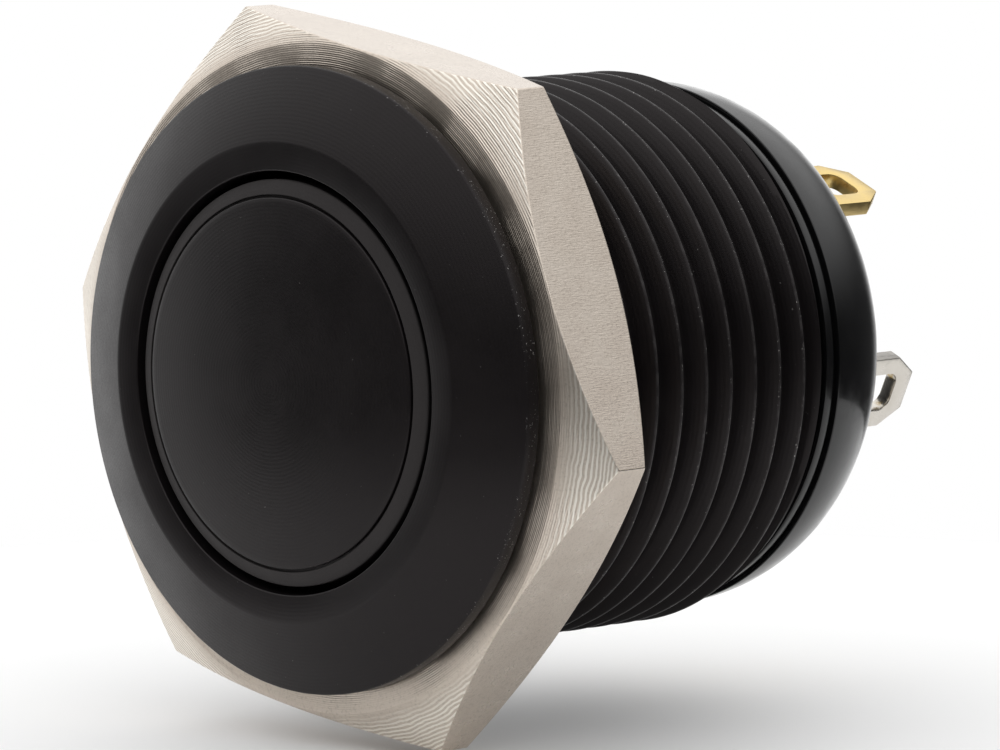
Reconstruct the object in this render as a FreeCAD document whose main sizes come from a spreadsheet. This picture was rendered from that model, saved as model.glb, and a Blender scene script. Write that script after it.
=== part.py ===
import FreeCAD, Part
import os

import Sketcher
from FreeCAD import Placement, Rotation, Vector

# Panel-mount momentary push button with an M16 x 1 barrel.
# +Y points from the cap to the solder lugs and is the push axis, +Z is up.
# The origin is on the push axis, in the plane of the bezel's rear seat.

DRIVING_DIMENSIONS = [
    # (word used in the expressions, value in mm, degrees or a count)
    # bezel and barrel
    ("thread_diameter", 16.0),
    ("thread_pitch", 1.0),
    ("thread_lead", 0.63),
    ("barrel_end", 12.9),
    ("barrel_wall", 0.89),
    ("seat_width", 0.85),
    ("bezel_rim_depth", 0.45),
    ("bezel_height", 1.3),
    ("bezel_flat_width", 0.8),
    ("lip_width", 0.547),
    ("lip_depth", 1.3),
    # panel gasket and nut
    ("gasket_thickness", 0.2),
    ("gasket_width", 0.55),
    ("thread_clearance", 0.05),
    ("nut_wall", 1.45),
    ("nut_thickness", 2.8),
    ("nut_face_inset", 0.05),
    ("nut_lead_in", 0.35),
    ("nut_turn", 9.1),
    # cap
    ("cap_gap", 0.23),
    ("cap_recess", 0.11),
    ("dome_ring_width", 0.5),
    ("dome_step", 0.2),
    ("dome_rise", 0.5),
    ("cap_flange_clearance", 0.15),
    ("cap_flange_thickness", 0.7),
    ("cap_stem_diameter", 2.6),
    ("cap_stem_length", 1.6),
    ("cap_seal_section", 1.0),
    ("cap_seal_front", 0.05),
    ("seal_running_gap", 0.03),
    ("stop_gap", 0.05),
    ("press_travel", 1.5),
    # plunger and return spring
    ("plunger_head_diameter", 6.8),
    ("plunger_head_thickness", 0.95),
    ("plunger_hub_diameter", 4.2),
    ("plunger_shaft_diameter", 2.8),
    ("hub_engagement", 0.6),
    ("running_clearance", 0.05),
    ("return_wire", 0.35),
    ("return_coils", 3.5),
    ("return_spring_room", 0.45),
    # contact block and its snap ring
    ("barrel_clearance", 0.05),
    ("block_wall", 1.4),
    ("chamber_wall", 1.25),
    ("snap_ring_thickness", 0.58),
    ("snap_ring_bite", 0.25),
    ("snap_ring_width", 0.75),
    ("snap_ring_opening", 40),
    ("ring_clearance", 0.05),
    # moving contacts
    ("bridge_thickness", 0.25),
    ("bridge_width", 1.6),
    ("bridge_boss_width", 0.75),
    ("bridge_end_margin", 0.05),
    ("bridge_gap", 0.25),
    ("bridge_hole_clearance", 0.15),
    ("wall_to_bridge", 0.9),
    ("tip_diameter", 1.1),
    ("tip_height", 0.3),
    ("no_travel_share", 0.6),
    ("nc_travel_share", 0.7),
    ("contact_gap", 0.02),
    ("sleeve_wall", 0.5),
    ("shaft_spring_room", 0.2),
    ("contact_wire", 0.22),
    ("contact_coils", 3.5),
    ("nc_wire", 0.25),
    ("nc_coils", 4.5),
    # terminals
    ("lug_margin", 0.4),
    ("silver_lug_inset", 0.7),
    ("lug_thickness", 0.45),
    ("lug_width", 2.3),
    ("lug_reach", 3.18),
    ("lug_tip_width", 1.2),
    ("lug_tip_length", 0.8),
    ("eye_width", 1.2),
    ("eye_length", 1.35),
    ("eye_margin", 0.62),
    ("eye_corner", 0.35),
    ("land_edge", 0.1),
    ("terminal_turn", 24.0),
    ("slot_clearance", 0.03),
    # rear base
    ("plug_length", 2.38),
    ("base_joint_gap", 0.1),
    ("base_lip_inset", 0.45),
    ("base_lip_width", 0.3),
    ("base_groove_depth", 0.12),
    ("base_groove_width", 0.12),
    ("tail_inset", 0.35),
    ("tail_length", 4.0),
    ("tail_land", 0.04),
    ("cavity_margin", 0.07),
    ("nc_spring_length", 3.0),
    ("guide_end_room", 0.2),
    ("base_seal_section", 0.8),
    ("base_seal_front", 0.9),
    ("seal_squeeze_gap", 0.02),
]

THREAD_DEPTH_PER_PITCH = 0.6134
THREAD_CREST_PER_PITCH = 0.125
THREAD_ROOT_PER_PITCH = 0.25
CHAMFER_SLOPE = 0.577
EDGE_BREAK = "0.06"
OVERSHOOT = "0.5"
WIRE_SIDES = 12

doc = FreeCAD.newDocument("push_button")
sheet = doc.addObject("Spreadsheet::Sheet", "sheet")
for row, (word, size) in enumerate(DRIVING_DIMENSIONS, start=1):
    sheet.set(f"A{row}", word)
    sheet.set(f"B{row}", str(size))
    sheet.setAlias(f"B{row}", word)
doc.recompute()

pieces = []


def size(word):
    return f"sheet.{word}"


def half(word):
    return f"sheet.{word} / 2"


def total(*terms):
    return " + ".join(f"({term})" for term in terms)


def less(first, *terms):
    return f"({first})" + "".join(f" - ({term})" for term in terms)


def value(expression):
    result = sheet.evalExpression(expression)
    return float(getattr(result, "Value", result))


# ---- places along the push axis, front to back ----
bezel_front = less("0", size("bezel_height"))
cap_ring_front = total(bezel_front, size("cap_recess"))
dome_edge = less(cap_ring_front, size("dome_step"))
dome_top = less(dome_edge, size("dome_rise"))
cap_flange_front = total(size("lip_depth"), size("stop_gap"))
cap_flange_back = total(cap_flange_front, size("cap_flange_thickness"))
head_back = total(cap_flange_back, size("plunger_head_thickness"))
land_back = less(size("barrel_end"), size("plug_length"))
land_front = less(land_back, size("lug_thickness"))
no_fixed_front = less(land_front, size("tip_height"))
no_travel = "sheet.press_travel * sheet.no_travel_share"
no_tip_back = less(no_fixed_front, no_travel, size("contact_gap"))
no_bridge_back = less(no_tip_back, size("tip_height"))
no_bridge_front = less(no_bridge_back, size("bridge_thickness"))
block_chamber = less(no_bridge_front, size("wall_to_bridge"))
block_front = less(block_chamber, size("block_wall"))
hub_end = total(block_front, size("hub_engagement"))
nc_fixed_back = total(land_back, size("tip_height"))
nc_tip_front = total(nc_fixed_back, size("contact_gap"))
nc_bridge_front = total(nc_tip_front, size("tip_height"))
nc_bridge_back = total(nc_bridge_front, size("bridge_thickness"))
sleeve_front = total(no_bridge_back, size("contact_gap"))
nc_free_travel = "sheet.press_travel * (1 - sheet.nc_travel_share)"
sleeve_back = less(nc_bridge_front, nc_free_travel, size("contact_gap"))
guide_front = total(nc_bridge_back, size("nc_spring_length"))
shaft_end = total(guide_front, size("hub_engagement"))
guide_end = total(shaft_end, size("press_travel"), size("guide_end_room"))
snap_ring_back = less(block_front, size("contact_gap"))
snap_ring_front = less(snap_ring_back, size("snap_ring_thickness"))
nut_front = size("gasket_thickness")
base_lip_front = total(size("barrel_end"), size("base_joint_gap"))
base_lip_back = total(base_lip_front, size("base_lip_width"))
tail_front = total(base_lip_back, size("base_groove_width"))
tail_end = total(tail_front, size("tail_length"))
lug_end = total(tail_end, size("lug_reach"))

# ---- radii ----
thread_radius = half("thread_diameter")
thread_depth = f"{THREAD_DEPTH_PER_PITCH} * sheet.thread_pitch"
root_radius = less(thread_radius, thread_depth)
barrel_bore = less(root_radius, size("barrel_wall"))
nut_bore = total(thread_radius, size("thread_clearance"))
nut_flat = total(nut_bore, size("nut_wall"))
front_bore = less(barrel_bore, size("lip_width"))
cap_radius = less(front_bore, size("cap_gap"))
insert_radius = less(barrel_bore, size("barrel_clearance"))
chamber = less(insert_radius, size("chamber_wall"))
hub_radius = half("plunger_hub_diameter")
shaft_radius = half("plunger_shaft_diameter")
sleeve_radius = total(shaft_radius, size("sleeve_wall"))
gold_radius = less(chamber, size("lug_margin"))
silver_radius = less(gold_radius, size("silver_lug_inset"))
silver_inner = less(silver_radius, size("lug_thickness"))
cavity = less(silver_inner, size("slot_clearance"), size("cavity_margin"))
bridge_reach = less(cavity, size("bridge_gap"))
tip_centre = less(bridge_reach, size("bridge_end_margin"), half("tip_diameter"))
land_inner = less(tip_centre, half("tip_diameter"), size("land_edge"))


# ---- shared makers ----
def origin_part(body, role):
    for feature in body.Origin.OriginFeatures:
        if feature.Role == role:
            return feature
    raise ValueError(role)


def new_body(name):
    body = doc.addObject("PartDesign::Body", name)
    body.Label = name
    pieces.append(body)
    return body


def new_sketch(body, name, plane):
    sketch = body.newObject("Sketcher::SketchObject", name)
    sketch.AttachmentSupport = [(origin_part(body, plane), "")]
    sketch.MapMode = "FlatFace"
    return sketch


def cross_section(body, name, place):
    """Sketch square to the push axis, at a place along it."""
    sketch = new_sketch(body, name, "XZ_Plane")
    sketch.setExpression("AttachmentOffset.Base.z", f"-({place})")
    return sketch


def tie(sketch, kind, geometry, vertex, expression):
    """Hold one coordinate of a sketch point at an expression."""
    constraint = Sketcher.Constraint(kind, -1, 1, geometry, vertex, value(expression))
    index = sketch.addConstraint(constraint)
    sketch.setExpression(f"Constraints[{index}]", expression)


def arc_between(start, end, centre_x):
    """Arc through two points about a centre whose x is known, and whether it keeps their order."""
    across = (end[0] - centre_x) ** 2 - (start[0] - centre_x) ** 2
    centre_y = (across + end[1] ** 2 - start[1] ** 2) / (2 * (end[1] - start[1]))
    centre = Vector(centre_x, centre_y, 0)
    first = Vector(*start, 0) - centre
    last = Vector(*end, 0) - centre
    keeps_order = first.cross(last).z > 0
    if not keeps_order:
        first, last = last, first
    circle = Part.Circle(centre, Vector(0, 0, 1), first.Length)
    begin = circle.parameter(centre + first)
    finish = circle.parameter(centre + last)
    return Part.ArcOfCircle(circle, begin, finish), keeps_order


def add_outline(sketch, corners):
    """Add a closed outline. A corner is (x, y), or (x, y, centre x) where an arc follows it."""
    points = [(value(corner[0]), value(corner[1])) for corner in corners]
    following = points[1:] + points[:1]
    edges = []
    for corner, start, end in zip(corners, points, following):
        if len(corner) == 3:
            edge, keeps_order = arc_between(start, end, value(corner[2]))
        else:
            edge, keeps_order = Part.LineSegment(Vector(*start, 0), Vector(*end, 0)), True
        index = sketch.addGeometry(edge)
        edges.append((index, 1, 2) if keeps_order else (index, 2, 1))
    for edge, after in zip(edges, edges[1:] + edges[:1]):
        sketch.addConstraint(Sketcher.Constraint("Coincident", edge[0], edge[2], after[0], after[1]))
    for edge, corner in zip(edges, corners):
        tie(sketch, "DistanceX", edge[0], edge[1], corner[0])
        tie(sketch, "DistanceY", edge[0], edge[1], corner[1])
        if len(corner) == 3:
            tie(sketch, "DistanceX", edge[0], 3, corner[2])


def add_circle(sketch, radius):
    """Add a circle about the sketch's origin."""
    circle = Part.Circle(Vector(0, 0, 0), Vector(0, 0, 1), value(radius))
    index = sketch.addGeometry(circle)
    sketch.addConstraint(Sketcher.Constraint("Coincident", index, 3, -1, 1))
    held = sketch.addConstraint(Sketcher.Constraint("Radius", index, value(radius)))
    sketch.setExpression(f"Constraints[{held}]", radius)


def turn(body, kind, name, *outlines):
    """Revolve outlines of (radius, distance along the push axis) about the push axis."""
    sketch = new_sketch(body, f"{name}_profile", "XY_Plane")
    for corners in outlines:
        add_outline(sketch, corners)
    feature = body.newObject(f"PartDesign::{kind}", name)
    feature.Profile = sketch
    feature.ReferenceAxis = (sketch, ["V_Axis"])
    feature.Angle = 360
    body.Tip = feature
    return feature


def box_outline(x_low, x_high, y_low, y_high):
    return [(x_low, y_low), (x_high, y_low), (x_high, y_high), (x_low, y_high)]


def turned_ring(name, inner, outer, front, back):
    """Plain ring about the push axis."""
    body = new_body(name)
    turn(body, "Revolution", f"{name}_blank", box_outline(inner, outer, front, back))
    return body


def extrude(body, kind, name, sketch, length):
    """Pad or pocket along the push axis, towards the back."""
    feature = body.newObject(f"PartDesign::{kind}", name)
    feature.Profile = sketch
    feature.setExpression("Length", length)
    feature.Reversed = kind == "Pad"
    body.Tip = feature
    return feature


def turn_about_axis(piece, angle):
    """Turn a piece about the push axis, from pointing up towards +X."""
    piece.Placement = Placement(Vector(0, 0, 0), Rotation(Vector(0, 1, 0), value(angle)))
    piece.setExpression("Placement.Rotation.Angle", f"({angle}) * 1 deg")


def seal_ring(name, ring_radius, section, centre):
    """Round-section seal about the push axis."""
    ring = doc.addObject("Part::Torus", name)
    ring.Label = name
    ring.setExpression("Radius1", ring_radius)
    ring.setExpression("Radius2", f"({section}) / 2")
    ring.Placement = Placement(Vector(0, 0, 0), Rotation(Vector(1, 0, 0), -90))
    ring.setExpression("Placement.Base.y", centre)
    pieces.append(ring)


def coil_spring(name, wire, coils, bore, front, back):
    """Spring about the push axis, its round wire drawn many-sided, with a hair of room each end."""
    room = size("contact_gap")
    mean = total(bore, f"({wire}) / 2")
    start = total(front, room, f"({wire}) / 2")
    length = less(back, start, room, f"({wire}) / 2")
    spine = doc.addObject("Part::Helix", f"{name}_line")
    spine.setExpression("Radius", mean)
    spine.setExpression("Height", length)
    spine.setExpression("Pitch", f"({length}) / ({coils})")
    spine.Placement = Placement(Vector(0, 0, 0), Rotation(Vector(1, 0, 0), -90))
    spine.setExpression("Placement.Base.y", start)
    section = doc.addObject("Part::RegularPolygon", f"{name}_section")
    section.Polygon = WIRE_SIDES
    section.setExpression("Circumradius", f"({wire}) / 2")
    section.setExpression("Placement.Base.x", mean)
    section.setExpression("Placement.Base.y", start)
    spring = doc.addObject("Part::Sweep", name)
    spring.Label = name
    spring.Sections = [section]
    spring.Spine = (spine, ["Edge1"])
    spring.Solid = True
    spring.Frenet = True
    pieces.append(spring)


# ---- the pieces ----
def make_bushing():
    """Bezel and threaded barrel, turned in one piece."""
    body = new_body("bushing")
    rim = total(thread_radius, size("seat_width"))
    rim_front = less("0", size("bezel_rim_depth"))
    end_chamfer = less(size("barrel_end"), thread_depth)
    blank = [
        (front_bore, bezel_front),
        (total(front_bore, size("bezel_flat_width")), bezel_front),
        (rim, rim_front),
        (rim, "0"),
        (root_radius, "0"),
        (root_radius, size("thread_lead")),
        (thread_radius, size("thread_lead")),
        (thread_radius, end_chamfer),
        (root_radius, size("barrel_end")),
        (barrel_bore, size("barrel_end")),
        (barrel_bore, size("lip_depth")),
        (front_bore, size("lip_depth")),
    ]
    turn(body, "Revolution", "bushing_blank", blank)
    cut_snap_groove(body)
    cut_thread(body)


def cut_snap_groove(body):
    """Groove in the bore for the snap ring."""
    bottom = total(barrel_bore, size("snap_ring_bite"), size("ring_clearance"))
    front = less(snap_ring_front, size("ring_clearance"))
    back = total(snap_ring_back, size("ring_clearance"))
    inside = less(barrel_bore, size("snap_ring_bite"))
    turn(body, "Groove", "snap_groove", box_outline(inside, bottom, front, back))


def cut_thread(body):
    """One thread groove, repeated at the pitch: the thread is a row of rings."""
    pitch = size("thread_pitch")
    crest = f"{THREAD_CREST_PER_PITCH / 2} * {pitch}"
    valley = total(size("thread_lead"), f"{pitch} / 2")
    open_half = less(f"{pitch} / 2", crest)
    root_half = f"{THREAD_ROOT_PER_PITCH / 2} * {pitch}"
    over = f"0.1 * {pitch}"
    flank = [
        (root_radius, less(valley, root_half)),
        (thread_radius, less(valley, open_half)),
        (total(thread_radius, over), less(valley, open_half)),
        (total(thread_radius, over), total(valley, open_half)),
        (thread_radius, total(valley, open_half)),
        (root_radius, total(valley, root_half)),
    ]
    groove = turn(body, "Groove", "thread_groove", flank)
    rows = body.newObject("PartDesign::LinearPattern", "thread_rows")
    rows.Originals = [groove]
    rows.Direction = (origin_part(body, "Y_Axis"), [""])
    turns = f"floor((sheet.barrel_end - sheet.thread_lead) / {pitch})"
    rows.setExpression("Length", f"{pitch} * ({turns} - 1)")
    rows.setExpression("Occurrences", turns)
    body.Tip = rows


def make_panel_gasket():
    outer = total(nut_bore, size("gasket_width"))
    turned_ring("panel_gasket", nut_bore, outer, "0", nut_front)


def make_hex_nut():
    body = new_body("hex_nut")
    corner = f"({nut_flat}) / cos(30 deg)"
    sketch = cross_section(body, "nut_section", nut_front)
    points = [
        (f"{corner} * cos({60 * number} deg)", f"{corner} * sin({60 * number} deg)")
        for number in range(6)
    ]
    add_outline(sketch, points)
    add_circle(sketch, nut_bore)
    extrude(body, "Pad", "nut_blank", sketch, size("nut_thickness"))
    back = total(nut_front, size("nut_thickness"))
    face = less(nut_flat, size("nut_face_inset"))
    outside = total(corner, OVERSHOOT)
    fall = f"({less(outside, face)}) * {CHAMFER_SLOPE}"
    lead = size("nut_lead_in")
    turn(
        body,
        "Groove",
        "nut_chamfers",
        [(face, nut_front), (outside, nut_front), (outside, total(nut_front, fall))],
        [(face, back), (outside, less(back, fall)), (outside, back)],
        [(nut_bore, nut_front), (total(nut_bore, lead), nut_front), (nut_bore, total(nut_front, lead))],
        [(nut_bore, back), (nut_bore, less(back, lead)), (total(nut_bore, lead), back)],
    )
    turn_about_axis(body, size("nut_turn"))


def make_button_cap():
    body = new_body("button_cap")
    dome = less(cap_radius, size("dome_ring_width"))
    groove_bottom = less(front_bore, size("seal_running_gap"), size("cap_seal_section"))
    groove_front = size("cap_seal_front")
    groove_back = total(groove_front, size("cap_seal_section"), size("stop_gap"))
    flange = less(barrel_bore, size("cap_flange_clearance"))
    stem = half("cap_stem_diameter")
    stem_end = total(cap_flange_back, size("cap_stem_length"))
    outline = [
        ("0", dome_top, "0"),
        (dome, dome_edge),
        (dome, cap_ring_front),
        (less(cap_radius, EDGE_BREAK), cap_ring_front),
        (cap_radius, total(cap_ring_front, EDGE_BREAK)),
        (cap_radius, groove_front),
        (groove_bottom, groove_front),
        (groove_bottom, groove_back),
        (cap_radius, groove_back),
        (cap_radius, cap_flange_front),
        (flange, cap_flange_front),
        (flange, cap_flange_back),
        (stem, cap_flange_back),
        (stem, stem_end),
        ("0", stem_end),
    ]
    turn(body, "Revolution", "cap_blank", outline)


def make_cap_seal():
    section = size("cap_seal_section")
    ring = less(front_bore, size("seal_running_gap"), half("cap_seal_section"))
    centre = total(size("cap_seal_front"), half("stop_gap"), half("cap_seal_section"))
    seal_ring("cap_seal", ring, section, centre)


def make_plunger():
    body = new_body("plunger")
    socket = half("cap_stem_diameter")
    socket_end = total(cap_flange_back, size("cap_stem_length"), size("stop_gap"))
    outline = [
        (socket, cap_flange_back),
        (half("plunger_head_diameter"), cap_flange_back),
        (half("plunger_head_diameter"), head_back),
        (hub_radius, head_back),
        (hub_radius, hub_end),
        (shaft_radius, hub_end),
        (shaft_radius, shaft_end),
        ("0", shaft_end),
        ("0", socket_end),
        (socket, socket_end),
    ]
    turn(body, "Revolution", "plunger_blank", outline)


def make_springs():
    return_bore = total(hub_radius, size("return_spring_room"))
    return_wire = size("return_wire")
    return_coils = size("return_coils")
    coil_spring("return_spring", return_wire, return_coils, return_bore, head_back, block_front)
    shaft_bore = total(shaft_radius, size("shaft_spring_room"))
    contact_wire = size("contact_wire")
    contact_coils = size("contact_coils")
    coil_spring("contact_spring", contact_wire, contact_coils, shaft_bore, hub_end, no_bridge_front)
    nc_wire = size("nc_wire")
    nc_coils = size("nc_coils")
    coil_spring("nc_spring", nc_wire, nc_coils, shaft_bore, nc_bridge_back, guide_front)


def make_snap_ring():
    """Open ring that snaps into the bore and stops the contact block."""
    body = new_body("snap_ring")
    outer = total(barrel_bore, size("snap_ring_bite"))
    inner = less(outer, size("snap_ring_width"))
    outline = box_outline(inner, outer, snap_ring_front, snap_ring_back)
    ring = turn(body, "Revolution", "snap_ring_blank", outline)
    ring.setExpression("Angle", "360 deg - sheet.snap_ring_opening * 1 deg")


def make_contact_block():
    body = new_body("contact_block")
    guide = total(hub_radius, size("running_clearance"))
    outline = [
        (guide, block_front),
        (insert_radius, block_front),
        (insert_radius, land_back),
        (chamber, land_back),
        (chamber, block_chamber),
        (guide, block_chamber),
    ]
    turn(body, "Revolution", "block_blank", outline)


def make_spacer_sleeve():
    turned_ring("spacer_sleeve", shaft_radius, sleeve_radius, sleeve_front, sleeve_back)


def make_bridge(name, front, angle):
    """Flat contact bar across the push axis, with a hole for the plunger."""
    body = new_body(name)
    sketch = cross_section(body, f"{name}_section", front)
    side = half("bridge_width")
    add_outline(sketch, box_outline(f"-({side})", side, f"-({bridge_reach})", bridge_reach))
    extrude(body, "Pad", f"{name}_bar", sketch, size("bridge_thickness"))
    boss = cross_section(body, f"{name}_boss_section", front)
    add_circle(boss, total(shaft_radius, size("bridge_boss_width")))
    extrude(body, "Pad", f"{name}_boss", boss, size("bridge_thickness"))
    hole = total(shaft_radius, size("bridge_hole_clearance"))
    past = total(front, size("bridge_thickness"))
    turn(body, "Groove", f"{name}_hole", box_outline("0", hole, front, past))
    turn_about_axis(body, angle)


def make_tips(name, front, angle):
    """Pair of round contact tips, one each side of the push axis."""
    tips = []
    for side, sign in (("a", 1), ("b", -1)):
        tip = doc.addObject("Part::Cylinder", f"{name}_{side}")
        tip.setExpression("Radius", half("tip_diameter"))
        tip.setExpression("Height", size("tip_height"))
        tip.Placement = Placement(Vector(0, 0, 0), Rotation(Vector(1, 0, 0), -90))
        tip.setExpression("Placement.Base.y", front)
        tip.setExpression("Placement.Base.z", f"{sign} * ({tip_centre})")
        tips.append(tip)
    pair = doc.addObject("Part::Compound", name)
    pair.Label = name
    pair.Links = tips
    turn_about_axis(pair, angle)
    pieces.append(pair)


def make_terminal(name, lug_radius, angle):
    """Solder lug: a contact land inside, a blade through the base and an eye behind it."""
    body = new_body(name)
    lug_inner = less(lug_radius, size("lug_thickness"))
    side_view = new_sketch(body, f"{name}_side", "YZ_Plane")
    outline = [
        (land_front, land_inner),
        (land_back, land_inner),
        (land_back, lug_inner),
        (lug_end, lug_inner),
        (lug_end, lug_radius),
        (land_front, lug_radius),
    ]
    add_outline(side_view, outline)
    blade = body.newObject("PartDesign::Pad", f"{name}_blade")
    blade.Profile = side_view
    blade.SideType = "Symmetric"
    blade.setExpression("Length", size("lug_width"))
    body.Tip = blade
    cut_lug_end(body, name, lug_radius)
    turn_about_axis(body, angle)


def cut_lug_end(body, name, lug_radius):
    """Bevel the two corners of the lug's end and cut its eye."""
    side = half("lug_width")
    tip_side = half("lug_tip_width")
    bevel = less(lug_end, size("lug_tip_length"))
    past_end = total(lug_end, OVERSHOOT)
    past_side = total(side, OVERSHOOT)
    eye_side = half("eye_width")
    eye_back = less(lug_end, size("eye_margin"))
    eye_front = less(eye_back, size("eye_length"))
    corner = size("eye_corner")
    top_view = new_sketch(body, f"{name}_top", "XY_Plane")
    for sign in ("", "-"):
        bevel_outline = [
            (f"{sign}({side})", bevel),
            (f"{sign}({past_side})", bevel),
            (f"{sign}({past_side})", past_end),
            (f"{sign}({tip_side})", past_end),
            (f"{sign}({tip_side})", lug_end),
        ]
        add_outline(top_view, bevel_outline)
    narrow = less(eye_side, corner)
    eye_outline = [
        (f"-({narrow})", eye_front),
        (narrow, eye_front, narrow),
        (eye_side, total(eye_front, corner)),
        (eye_side, less(eye_back, corner), narrow),
        (narrow, eye_back),
        (f"-({narrow})", eye_back, f"-({narrow})"),
        (f"-({eye_side})", less(eye_back, corner)),
        (f"-({eye_side})", total(eye_front, corner), f"-({narrow})"),
    ]
    add_outline(top_view, eye_outline)
    cut = body.newObject("PartDesign::Pocket", f"{name}_end")
    cut.Profile = top_view
    cut.SideType = "Symmetric"
    cut.setExpression("Length", f"4 * ({lug_radius})")
    body.Tip = cut


def make_rear_base():
    """Plug, lip and rounded tail in one moulding, with slots for the four blades."""
    body = new_body("rear_base")
    seal_front = total(land_back, size("base_seal_front"))
    seal_back = total(seal_front, size("base_seal_section"), size("stop_gap"))
    seal_bottom = less(barrel_bore, size("seal_squeeze_gap"), size("base_seal_section"))
    lip = less(thread_radius, size("base_lip_inset"))
    groove = less(lip, size("base_groove_depth"))
    tail = less(thread_radius, size("tail_inset"))
    round_front = total(tail_front, size("tail_land"))
    flat = less(tail, less(tail_end, round_front))
    guide = total(shaft_radius, size("running_clearance"))
    outline = [
        (cavity, land_back),
        (insert_radius, land_back),
        (insert_radius, seal_front),
        (seal_bottom, seal_front),
        (seal_bottom, seal_back),
        (insert_radius, seal_back),
        (insert_radius, base_lip_front),
        (lip, base_lip_front),
        (lip, base_lip_back),
        (groove, base_lip_back),
        (groove, tail_front),
        (tail, tail_front),
        (tail, round_front, flat),
        (flat, tail_end),
        ("0", tail_end),
        ("0", guide_end),
        (guide, guide_end),
        (guide, guide_front),
        (cavity, guide_front),
    ]
    turn(body, "Revolution", "base_blank", outline)
    cut_blade_slots(body)
    turn_about_axis(body, size("terminal_turn"))


def cut_blade_slots(body):
    """A pair of slots for the gold blades, and a pair square to it for the silver ones."""
    clearance = size("slot_clearance")
    side = total(half("lug_width"), clearance)
    for name, lug_radius, across in (("gold", gold_radius, False), ("silver", silver_radius, True)):
        sketch = new_sketch(body, f"{name}_slot_section", "XZ_Plane")
        low = less(lug_radius, size("lug_thickness"), clearance)
        high = total(lug_radius, clearance)
        for sign in ("", "-"):
            if across:
                outline = box_outline(f"{sign}({low})", f"{sign}({high})", f"-({side})", side)
            else:
                outline = box_outline(f"-({side})", side, f"{sign}({low})", f"{sign}({high})")
            add_outline(sketch, outline)
        slots = body.newObject("PartDesign::Pocket", f"{name}_slots")
        slots.Profile = sketch
        slots.SideType = "Symmetric"
        slots.setExpression("Length", f"2 * ({lug_end})")
        body.Tip = slots


def make_base_seal():
    section = size("base_seal_section")
    ring = less(barrel_bore, size("seal_squeeze_gap"), half("base_seal_section"))
    centre = total(land_back, size("base_seal_front"), half("stop_gap"), half("base_seal_section"))
    seal_ring("base_seal", ring, section, centre)


def make_contacts():
    """The closing pair stands across the gold lugs and the opening pair across the silver ones."""
    no_angle = size("terminal_turn")
    nc_angle = total(size("terminal_turn"), "90")
    make_bridge("no_bridge", no_bridge_front, no_angle)
    make_tips("no_moving_tips", no_bridge_back, no_angle)
    make_tips("no_fixed_tips", no_fixed_front, no_angle)
    make_bridge("nc_bridge", nc_bridge_front, nc_angle)
    make_tips("nc_moving_tips", nc_tip_front, nc_angle)
    make_tips("nc_fixed_tips", land_back, nc_angle)
    make_terminal("no_terminal_a", gold_radius, no_angle)
    make_terminal("nc_terminal_a", silver_radius, nc_angle)
    make_terminal("no_terminal_b", gold_radius, total(no_angle, "180"))
    make_terminal("nc_terminal_b", silver_radius, total(nc_angle, "180"))


def check_and_write():
    """Refuse a failed feature or a bad shape, then write each piece to its own file."""
    for thing in doc.Objects:
        if "Invalid" in thing.State or "Error" in thing.State:
            raise RuntimeError(f"{thing.Label} failed: {thing.State}")
    for piece in pieces:
        if piece.Shape.isNull() or not piece.Shape.isValid():
            raise RuntimeError(f"{piece.Label} has a bad shape")
    os.makedirs("parts", exist_ok=True)
    for piece in pieces:
        piece.Shape.exportStep(f"parts/{piece.Label}.step")


make_bushing()
make_panel_gasket()
make_hex_nut()
make_button_cap()
make_cap_seal()
make_plunger()
make_springs()
make_snap_ring()
make_contact_block()
make_spacer_sleeve()
make_contacts()
make_rear_base()
make_base_seal()
doc.recompute()
check_and_write()
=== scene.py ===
import math

import bmesh
import bpy
from mathutils import Matrix, Vector


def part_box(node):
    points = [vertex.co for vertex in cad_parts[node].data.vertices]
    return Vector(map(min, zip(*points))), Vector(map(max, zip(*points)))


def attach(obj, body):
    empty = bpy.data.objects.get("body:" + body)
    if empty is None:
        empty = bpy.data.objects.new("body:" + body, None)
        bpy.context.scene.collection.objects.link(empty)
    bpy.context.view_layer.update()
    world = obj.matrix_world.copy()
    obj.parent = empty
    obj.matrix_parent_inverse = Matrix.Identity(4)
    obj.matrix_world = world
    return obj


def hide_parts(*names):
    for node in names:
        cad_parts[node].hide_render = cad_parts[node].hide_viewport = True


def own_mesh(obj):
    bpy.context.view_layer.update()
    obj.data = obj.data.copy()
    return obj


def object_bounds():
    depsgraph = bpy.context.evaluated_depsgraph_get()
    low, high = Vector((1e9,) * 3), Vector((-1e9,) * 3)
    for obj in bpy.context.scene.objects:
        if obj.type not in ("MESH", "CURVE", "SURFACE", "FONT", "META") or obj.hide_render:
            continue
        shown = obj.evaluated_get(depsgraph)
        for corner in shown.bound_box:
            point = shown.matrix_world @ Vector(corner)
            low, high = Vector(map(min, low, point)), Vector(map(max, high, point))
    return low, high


# Panel-mount push button: +Y is the push axis, from the cap to the solder lugs, and +Z is up.
# Sizes are in millimetres and become metres where a mesh is finished.

MM = 0.001
TURN_STEPS = 216
MERGE_DISTANCE = 0.0005
CUT_TOLERANCE = 1e-5
PITCH = 1.0
THREAD_RADIUS = 8.0
ROOT_RADIUS = 7.3866
TERMINAL_TURN = 24.0

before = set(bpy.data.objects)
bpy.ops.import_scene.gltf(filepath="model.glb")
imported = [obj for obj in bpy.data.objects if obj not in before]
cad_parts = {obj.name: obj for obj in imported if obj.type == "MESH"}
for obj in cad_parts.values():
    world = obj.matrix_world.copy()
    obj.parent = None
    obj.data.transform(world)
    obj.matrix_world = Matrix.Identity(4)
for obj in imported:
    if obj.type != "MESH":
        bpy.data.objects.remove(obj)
cad_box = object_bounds()


# ---- sizes read from the frame ----
def low(node, axis):
    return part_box(node)[0]["xyz".index(axis)] / MM


def high(node, axis):
    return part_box(node)[1]["xyz".index(axis)] / MM


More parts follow.
